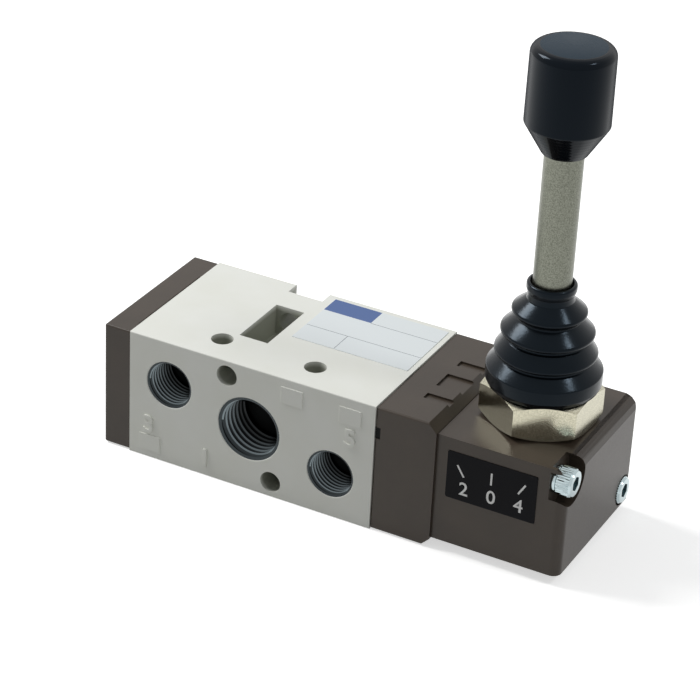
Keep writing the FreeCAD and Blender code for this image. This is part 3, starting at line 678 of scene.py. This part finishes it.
# %% Planed roll at the end of its top
roll_high = 2.57
roll_leans = range(16, 80, 7)
roll_strips = (1.0, 0.3, 0.28, 0.26, 0.26, 0.27, 0.3, 0.35, 0.4, 0.5)
plane_at = Vector((end_x, high.z - roll_high))
bpy.ops.object.mode_set(mode="EDIT")
bpy.ops.mesh.select_all(action="SELECT")
for lean, strip in zip(roll_leans, roll_strips):
    out, up = math.cos(math.radians(lean)), math.sin(math.radians(lean))
    bpy.ops.mesh.bisect(plane_co=(plane_at.x * mm, 0, plane_at.y * mm), plane_no=(out, 0, up),
                        use_fill=True, clear_outer=True)
    bpy.ops.mesh.select_all(action="SELECT")
    plane_at += Vector((-up, out)) * strip
bpy.ops.object.mode_set(mode="OBJECT")
print("block blank, corners", len(block.data.vertices))

# %% [markdown]
# ## Pockets and holes of the block
# The heads of the two long screws sink into round pockets at opposite corners of the end
# face. Below the nut a stepped hole takes the ball and its seat, and a bore along X takes the
# spool's stem. They could be left out where nothing shows them, but the lever moves in them,
# so its room has to be real.

# %% Pockets and screw holes
head_r, head_high, shank_r, through_r = 2.75, 3.0, 1.5, 1.65
block_screw_low, block_screw_high = (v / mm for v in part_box("block_screws"))
pocket_deep, shifted = 2.95, 0.15
seat_x = high.x - pocket_deep
screw_places = ((block_screw_low.y + head_r, block_screw_high.z - head_r - shifted),
                (block_screw_high.y - head_r + shifted, block_screw_low.z + head_r - shifted))
for (side_y, side_z), pocket_r, pocket_in in zip(screw_places, (4.7, 3.1), (0.6, 0.0)):
    pocket_y = side_y + pocket_in
    cut_out(block, round_cutter(pocket_r, (seat_x, pocket_y, side_z),
                                (end_x + past, pocket_y, side_z)))
    cut_out(block, round_cutter(through_r, (low.x - past, side_y, side_z),
                                (end_x + past, side_y, side_z), 32))
print("screws at y, z in mm", [[round(v, 2) for v in place] for place in screw_places])

# %% Holes for the lever and recess for the plate
spool_z = (block_screw_low.z + block_screw_high.z) / 2
lever_x = boot_base.x / mm
seat_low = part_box("ball_seat")[0].z / mm
stem_bore_r, stem_bore_past_lever, neck_hole_r, nut_hole_r = 5.1, 8.4, 3.9, 7.4
cut_out(block, round_cutter(stem_bore_r, (low.x - past, 0, spool_z),
                            (lever_x + stem_bore_past_lever, 0, spool_z)))
cut_out(block, round_cutter(neck_hole_r, (lever_x, 0, spool_z), (lever_x, 0, high.z)))
cut_out(block, round_cutter(nut_hole_r, (lever_x, 0, seat_low), (lever_x, 0, high.z + past)))
recess_low, recess_high = (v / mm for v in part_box("position_plate"))
cut_out(block, box_cutter((recess_low.x, low.y - past, recess_low.z), recess_high))
edge = block.modifiers.new("edge", "BEVEL")
edge.width = 0.12 * mm
edge.segments = 2
edge.angle_limit = math.radians(15)
bpy.ops.object.modifier_apply(modifier=edge.name)
bpy.ops.object.shade_smooth_by_angle(angle=math.radians(14))
block.data.materials.append(brown_enamel)
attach(block, "valve")
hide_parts("handle_block")
print("block faces", len(block.data.polygons))

# %% [markdown]
# ## Threads in the ports
# The two sizes of port take pipe threads of 19 and 28 turns to the inch. A thread is one
# ridge that winds round the hole. Plain rings would look much the same from afar, but near by
# a thread climbs. Its section is drawn once, the Screw modifier winds it, and a face closes
# each of its ends. The springs further on are wound by the same helper.

# %% Wind a section along an axis
def wound_piece(name, section, pitch, turns, base, along, steps, smooth_deg=35):
    """A closed section of (radius, height) in mm, wound about the axis that leaves base."""
    points = [Vector((r, 0, h)) * mm for r, h in section + section[:1]]
    piece = draw_line(name, points)
    bpy.ops.mesh.select_all(action="SELECT")
    bpy.ops.mesh.remove_doubles(threshold=same_place)
    bpy.ops.object.mode_set(mode="OBJECT")
    bpy.ops.object.transform_apply(location=True, rotation=True, scale=True)
    screw = piece.modifiers.new("wind", "SCREW")
    screw.axis = "Z"
    screw.angle = 2 * math.pi
    screw.screw_offset = pitch * mm
    screw.iterations = turns
    screw.steps = screw.render_steps = steps
    bpy.ops.object.modifier_apply(modifier=screw.name)
    bpy.ops.object.mode_set(mode="EDIT")
    bpy.ops.mesh.select_mode(type="EDGE")
    for end in (0, 1):
        bpy.ops.mesh.select_all(action="DESELECT")
        bpy.ops.mesh.select_non_manifold(extend=False)
        bpy.ops.mesh.edge_face_add()
    bpy.ops.mesh.select_all(action="SELECT")
    bpy.ops.mesh.normals_make_consistent(inside=False)
    bpy.ops.mesh.select_mode(type="VERT")
    bpy.ops.object.mode_set(mode="OBJECT")
    piece.rotation_euler = Vector(along).to_track_quat("Z", "Y").to_euler()
    piece.location = base
    bpy.ops.object.transform_apply(location=True, rotation=True, scale=True)
    bpy.ops.object.shade_smooth_by_angle(angle=math.radians(smooth_deg))
    return piece


# %% [markdown]
# ## Bare metal in the ports
# The tap leaves bare metal in a painted body, and here it is dark with painted shade. The
# body's own walls could be given that metal face by face, but its mesh isn't changed. So a thin
# lining covers the wall and the drilled floor of each hole, with a short lead-in at its mouth,
# and the ridge winds inside it. The record says where each port is, and how wide and deep.

# %% Find the ports
inch = 25.4
turns_per_inch = {6.58: 19, 4.86: 28}
feed_r_of = {6.58: 3.0, 4.86: 2.2}
ports = {}
for mount in frame["record"]["mounts"]:
    if mount["kind"] == "threaded_hole":
        ports[mount["name"]] = (Vector(mount["pos_m"]), mount["axis"][1], mount["dims"])
print("ports", sorted(ports))

# %% Port linings and threads
for name, (middle, way, dims) in ports.items():
    hole_r = round(dims["r_mm"], 2)
    body_face = solid_low.y if way < 0 else solid_high.y
    deep = way * (body_face - middle.y) / mm + dims["length_mm"] / 2
    inward = (0, -way, 0)
    mouth = Vector((middle.x, body_face, middle.z))
    pitch = inch / turns_per_inch[hole_r]
    ridge = 0.64 * pitch
    lead = 0.3
    outer_r, inner_r = hole_r - 0.01, hole_r - 0.05
    feed_r = feed_r_of[hole_r] + 0.02
    cone_end = deep + 0.35 * (hole_r - feed_r) - 0.02
    lining = spin_piece(name + "_lining", [
        (outer_r, 0.13), (outer_r, deep - 0.01), (feed_r, cone_end), (feed_r, cone_end - 0.08),
        (inner_r, deep - 0.1), (inner_r, lead + 0.1), (hole_r - 0.7 * ridge, lead)],
        mouth, inward, smooth_deg=20)
    lining.data.materials.append(shaded_flank)
    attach(lining, "valve")
    turns = int((deep - lead - 0.3) / pitch)
    root_r, root = hole_r - 0.02, 0.499 * pitch
    shoulder_r, shoulder = hole_r - 0.65 * ridge, 0.20 * pitch
    crest_r, crest = hole_r - ridge, 0.06 * pitch
    thread = wound_piece(name + "_thread", [
        (root_r, root), (shoulder_r, shoulder), (crest_r, crest),
        (crest_r, -crest), (shoulder_r, -shoulder), (root_r, -root)], pitch, turns,
        mouth + Vector(inward) * (lead + 0.3 * pitch) * mm, inward, 64)
    thread.data.materials.append(shaded_flank)
    thread.data.materials.append(lit_crest)
    # Crest faces take the lighter copy as painted light, the flanks the darker copy as painted
    # shade.
    for face in thread.data.polygons:
        from_axis = math.hypot(face.center.x - mouth.x, face.center.z - mouth.z) / mm
        face.material_index = 1 if from_axis < shoulder_r - 0.01 else 0
    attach(thread, "valve")
    print(name, "turns", turns, "faces", len(lining.data.polygons) + len(thread.data.polygons))

# %% [markdown]
# ## Return springs
# Two springs of round wire push the spool back to the middle from both sides. A bevelled
# curve could be the wire, but it would have to be made a mesh before it can bend, so they are
# wound like the threads. Each one reaches from a fixed floor to the spool's end.

# %% Return springs
for name, node, fixed_at_low in (("left_spring", "left_return_spring", True),
                                 ("right_spring", "right_return_spring", False)):
    low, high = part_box(node)
    wire_r, wire_sides, coils = 0.4, 10, 4
    coil_r = (high.z - low.z) / 2 / mm - wire_r
    around = [t * 2 * math.pi / wire_sides for t in range(wire_sides)]
    wire = [(coil_r + wire_r * math.cos(a), wire_r * math.sin(a)) for a in around]
    span = (high.x - low.x) / mm - 2 * wire_r - 0.1
    start = Vector((low.x + (wire_r + 0.05) * mm, (low.y + high.y) / 2, (low.z + high.z) / 2))
    spring = wound_piece(name, wire, span / coils, coils, start, (1, 0, 0), 36, smooth_deg=60)
    spring.data.materials.append(ground_steel)
    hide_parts(node)
    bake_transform(spring)
    print(name, "length in mm", round(span, 2))

# %% [markdown]
# ## Knurled socket screws
# Four screws hold the ends. Their heads have straight knurling, fine ridges that a wheel has
# rolled in, a plain round edge and a hexagon socket. A bump could draw the knurling, but its
# ridges show in the outline. So the head is spun with two steps for each ridge, and every
# second line of its side is drawn in. A Boolean with a six-sided prism cuts the socket. One
# screw is modelled, and the four are copies of its mesh.

# %% One screw, lying along X with its seat at the origin
ridges, groove_share = 34, 0.93
block_shank = block_screw_high.x - block_screw_low.x - head_high
screw = spin_piece("screw", [
    (0, head_high), (2.38, head_high, 0.05), (2.52, head_high - 0.28, 0.2),
    (head_r - 0.08, head_high - 0.42), (head_r, head_high - 0.5), (head_r, 0.3),
    (head_r - 0.1, 0.1), (head_r - 0.25, 0.0), (shank_r, 0.0), (shank_r, 0.9 - block_shank),
    (shank_r - 0.4, -block_shank), (0, -block_shank)],
    Vector((0, 0, 0)), (1, 0, 0), steps=2 * ridges, arc_steps=3, smooth_deg=28)


def in_groove(place):
    """True on every second line of the head's side."""
    line = round(math.atan2(place.z, place.y) / math.pi * ridges)
    return math.hypot(place.y, place.z) > head_r - 0.02 and line % 2 == 0


pick_corners(screw, in_groove)
bpy.ops.transform.resize(value=(1.0, groove_share, groove_share), center_override=(0, 0, 0))
bpy.ops.object.mode_set(mode="OBJECT")
print("ridges", ridges, "shank in mm", round(block_shank, 1))

# %% Its hexagon socket
socket_flat, socket_deep = 1.25, 1.5
cut_out(screw, round_cutter(socket_flat / math.cos(math.pi / 6), (head_high - socket_deep, 0, 0),
                            (head_high + past, 0, 0), 6))
screw.select_set(True)
edge = screw.modifiers.new("edge", "BEVEL")
edge.width = 0.04 * mm
edge.segments = 1
edge.angle_limit = math.radians(60)
bpy.ops.object.modifier_apply(modifier=edge.name)
bpy.ops.object.shade_smooth_by_angle(angle=math.radians(28))
screw.data.materials.append(zinc_plate)
print("screw faces", len(screw.data.polygons))

# %% [markdown]
# ## The four screws
# The block's screws stand on their washers at opposite corners, and the end cap's two face
# the other way and are shorter. They could be scaled to length, but that would squash their
# heads. So a bisect cuts their shanks off where their solids end.

# %% Place the four screws
washer_thick = 0.75
cap_low, cap_high = (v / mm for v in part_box("end_cap_screws"))
block_at, cap_at = seat_x + washer_thick, cap_low.x + head_high
places = (
    ("block_screw_near", "block_screws", (block_at, *screw_places[0]), 0),
    ("block_screw_far", "block_screws", (block_at, *screw_places[1]), 0),
    ("cap_screw_near", "end_cap_screws", (cap_at, cap_low.y + head_r, cap_low.z + head_r), 180),
    ("cap_screw_far", "end_cap_screws", (cap_at, cap_high.y - head_r, cap_high.z - head_r), 180))
for name, node, place, turn in places:
    bpy.ops.object.select_all(action="DESELECT")
    copy = screw.copy()
    copy.data = screw.data.copy()
    copy.name = name
    bpy.context.scene.collection.objects.link(copy)
    copy.select_set(True)
    bpy.context.view_layer.objects.active = copy
    copy.rotation_euler.z = math.radians(turn)
    copy.location = Vector(place) * mm
    bpy.ops.object.transform_apply(location=True, rotation=True, scale=True)
    if node == "end_cap_screws":
        bpy.ops.object.mode_set(mode="EDIT")
        bpy.ops.mesh.select_all(action="SELECT")
        bpy.ops.mesh.bisect(plane_co=(cap_high.x * mm, 0, 0), plane_no=(1, 0, 0), use_fill=True,
                            clear_outer=True)
        bpy.ops.object.mode_set(mode="OBJECT")
    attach(copy, "valve")
    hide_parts(node)
    print(name, "faces", len(copy.data.polygons))
bpy.data.objects.remove(screw)

# %% [markdown]
# ## Spring washers
# Each screw of the handle block has a split spring washer under its head. A torus could be
# pressed flat, but a spun ring with round edges has the right section at once. A narrow box
# cuts the gap where the ring is split.

# %% Two split washers
washer_hole_r, washer_r, gap_half = 1.6, 2.7, 0.2
for name, (side_y, side_z) in zip(("spring_washer_near", "spring_washer_far"), screw_places):
    seat = Vector((seat_x, side_y, side_z)) * mm
    washer = spin_piece(name, [
        (washer_hole_r, 0.0), (washer_hole_r, washer_thick), (washer_r, washer_thick, 0.15),
        (washer_r, 0.0, 0.15)], seat, (1, 0, 0), steps=64, arc_steps=3, smooth_deg=35)
    cut_out(washer, box_cutter((seat_x - 1, side_y - gap_half, side_z + 1),
                               (seat_x + 2, side_y + gap_half, side_z + 4)))
    washer.data.materials.append(zinc_plate)
    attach(washer, "valve")
    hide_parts("spring_washers")
    print(name, "faces", len(washer.data.polygons))

# %% [markdown]
# ## Small raised and printed things
# Print and cast marks could be drawn by an image, but a mesh stays sharp from near by and
# needs no file. Two helpers make them all: a bar with rounded edges, and a numeral. A numeral
# starts as a Text object, gets its thickness, is made a mesh, and is stood up on its face.

# %% Bars and numerals
def flat_bar(name, centre, size, turn_deg=0.0, edge_mm=0.05, face=(0, -1, 0)):
    """A thin bar on a face. Its size is (across, up, thick) in mm as seen on that face."""
    bpy.ops.object.select_all(action="DESELECT")
    bpy.ops.mesh.primitive_cube_add(size=mm, location=(0, 0, 0))
    piece = bpy.context.object
    piece.name = name
    piece.scale = size
    bpy.ops.object.transform_apply(location=True, rotation=True, scale=True)
    edge = piece.modifiers.new("edge", "BEVEL")
    edge.width = edge_mm * mm
    edge.segments = 2
    bpy.ops.object.modifier_apply(modifier=edge.name)
    stand_on(piece, centre, turn_deg, face)
    return piece


def numeral(name, sign, centre, high_mm, thick_mm, bevel_mm=0.0, face=(0, -1, 0), bold_mm=0.04):
    """A numeral with its middle at centre, half of its thickness above the face."""
    capital_share = 0.72
    bpy.ops.object.select_all(action="DESELECT")
    bpy.ops.object.text_add(location=(0, 0, 0))
    piece = bpy.context.object
    piece.name = name
    piece.data.body = sign
    piece.data.align_x = "CENTER"
    piece.data.align_y = "CENTER"
    piece.data.size = high_mm * mm / capital_share
    piece.data.extrude = thick_mm / 2 * mm
    piece.data.bevel_depth = bevel_mm * mm
    piece.data.offset = bold_mm * mm
    piece.data.resolution_u = 6
    bpy.ops.object.convert(target="MESH")
    stand_on(piece, centre, 0.0, face)
    return piece


def stand_on(piece, centre, turn_deg, face):
    """Turns a piece that lies flat so that its up is the face's outward direction."""
    turned = Matrix.Rotation(math.radians(turn_deg), 4, "Z")
    across = Vector((0, 0, 1)).cross(Vector(face)) if abs(face[2]) < 0.5 else Vector((1, 0, 0))
    up = Vector(face).cross(across)
    stood = Matrix((across, up, Vector(face))).transposed().to_4x4()
    piece.matrix_world = Matrix.Translation(Vector(centre)) @ stood @ turned
    bpy.ops.object.transform_apply(location=True, rotation=True, scale=True)


# %% [markdown]
# ## Cast numbers on the ports
# The die leaves raised port numbers on both faces, and three small bare pads for other marks.
# They have the body's own enamel, and only their edges catch the light. A bump could fake
# them, but it is flat from the side, so they stand a quarter of a millimetre proud.

# %% Port numbers and bare pads
raised, cast_high, cast_edge, lifted = 0.26, 3.7, 0.11, 0.1
front, back = (0, -1, 0), (0, 1, 0)
front_y, back_y = solid_low.y, solid_high.y
for name, sign, x, z, y, face in (
        ("number_3", "3", -21.9, 7.2, front_y, front),
        ("number_1", "1", -9.25, 3.8, front_y, front),
        ("number_5", "5", 21.3, 17.9, front_y, front),
        ("number_2", "2", -19.6, 13.2, back_y, back),
        ("number_4", "4", 19.6, 13.2, back_y, back)):
    digit = numeral(name, sign, (x * mm, y + face[1] * lifted * mm, z * mm), cast_high,
                    raised - lifted, cast_edge, face)
    digit.data.materials.append(cream_enamel)
    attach(digit, "valve")
for name, x, z in (("pad_upper_mid", 8.9, 22.9), ("pad_upper_right", 21.1, 22.6),
                   ("pad_lower_left", -21.6, 3.3)):
    pad = flat_bar(name, (x * mm, front_y, z * mm), (4.6, 3.5, 0.3), 0, 0.08, front)
    pad.data.materials.append(cream_enamel)
    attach(pad, "valve")
print("cast numbers raised by mm", raised)

# %% [markdown]
# ## Position plate
# The black plate under the lever shows its three places: a tick for each way the lever
# points, and below it the number of the port that is then open, or a nought for neither. A
# tick could be a long box, but screened ink has soft ends, so each is a bar with rounded
# edges, and it is placed by the two ends that it runs between.

# %% Ticks and numbers of the position plate
print_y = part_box("position_plate")[0].y
print_high, print_thick, tick_wide = 2.75, 0.03, 0.36
for k, (low_x, low_z, high_x, high_z) in enumerate((
        (44.25, 16.95, 42.85, 19.15), (49.65, 17.1, 49.68, 19.6), (55.05, 17.1, 56.35, 19.3))):
    run = Vector((high_x - low_x, high_z - low_z))
    centre = ((low_x + high_x) / 2 * mm, print_y, (low_z + high_z) / 2 * mm)
    slant = math.degrees(math.atan2(-run.x, run.y))
    tick = flat_bar(f"tick_{k}", centre, (tick_wide, run.length, print_thick), slant, 0.01)
    tick.data.materials.append(white_ink)
    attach(tick, "valve")
for sign, x, z in (("2", 44.35, 14.35), ("0", 49.8, 14.45), ("4", 55.25, 14.5)):
    digit = numeral("dial_number_" + sign, sign, (x * mm, print_y, z * mm), print_high,
                    print_thick)
    digit.data.materials.append(white_ink)
    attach(digit, "valve")
print("print on the dial in mm, high", print_high, "thick", print_thick)

# %% [markdown]
# ## Rating plate
# A thin white film lies on the top face beside the slot. It is printed with a blue field and
# thin rules. The ink could be colours on one mesh, but as bars it keeps its crisp edge.

# %% Blue field and rules
film_low, film_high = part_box("rating_plate")
top, ink_thick, ink_edge = (0, 0, 1), 0.02, 0.005
field = flat_bar("blue_field", (film_low.x + 5.15 * mm, film_high.y - 2.45 * mm, film_high.z),
                 (10.2, 4.8, ink_thick), 0, ink_edge, top)
field.data.materials.append(blue_ink)
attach(field, "valve")
for k, (x0, x1, y0, y1) in enumerate(((10.3, 24.4, 12.5, 12.62), (0.1, 24.4, 5.6, 5.72),
                                      (8.9, 9.02, 0.1, 5.6))):
    centre = film_low + Vector(((x0 + x1) / 2, (y0 + y1) / 2, 0)) * mm
    centre.z = film_high.z
    rule = flat_bar(f"rule_{k}", centre, (x1 - x0, y1 - y0, ink_thick), 0, ink_edge, top)
    rule.data.materials.append(grey_ink)
    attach(rule, "valve")
print("film in mm", [round(v / mm, 2) for v in film_high - film_low])

# %% [markdown]
# ## Finishes of the solids
# Most solids already have the right shape, such as the body, the nut and all that is inside.
# They could be modelled again, but a solid in a good finish looks the same and stays exact.
# So each one keeps its mesh and gets one of the finishes above.

# %% Give every solid its finish
finish_of = {
    "valve_body": cream_enamel, "end_cap": brown_enamel, "adapter_block": brown_enamel,
    "handle_block": brown_enamel, "end_cap_seal": seal_rubber, "adapter_gasket": seal_rubber,
    "rod_seal": seal_rubber, "spool_seals": seal_rubber, "end_cap_screws": zinc_plate,
    "block_screws": zinc_plate, "spring_washers": zinc_plate, "rod_guide": turned_brass,
    "ball_seat": turned_brass, "seal_retainer": ground_steel, "spool": hard_anodised,
    "left_return_spring": ground_steel, "right_return_spring": ground_steel,
    "spool_yoke": ground_steel, "yoke_pin": ground_steel, "pivot_ball": ground_steel,
    "pivot_pin": ground_steel, "lever_rod": nickel_frost, "knob": turned_black,
    "gland_nut": nickel_bright, "rubber_boot": boot_rubber, "position_plate": dial_film,
    "rating_plate": label_film}
for name, finish in finish_of.items():
    solid = nodes[name]
    solid.data.materials.clear()
    solid.data.materials.append(finish)
print("solids without a finish", sorted(set(nodes) - set(finish_of)))
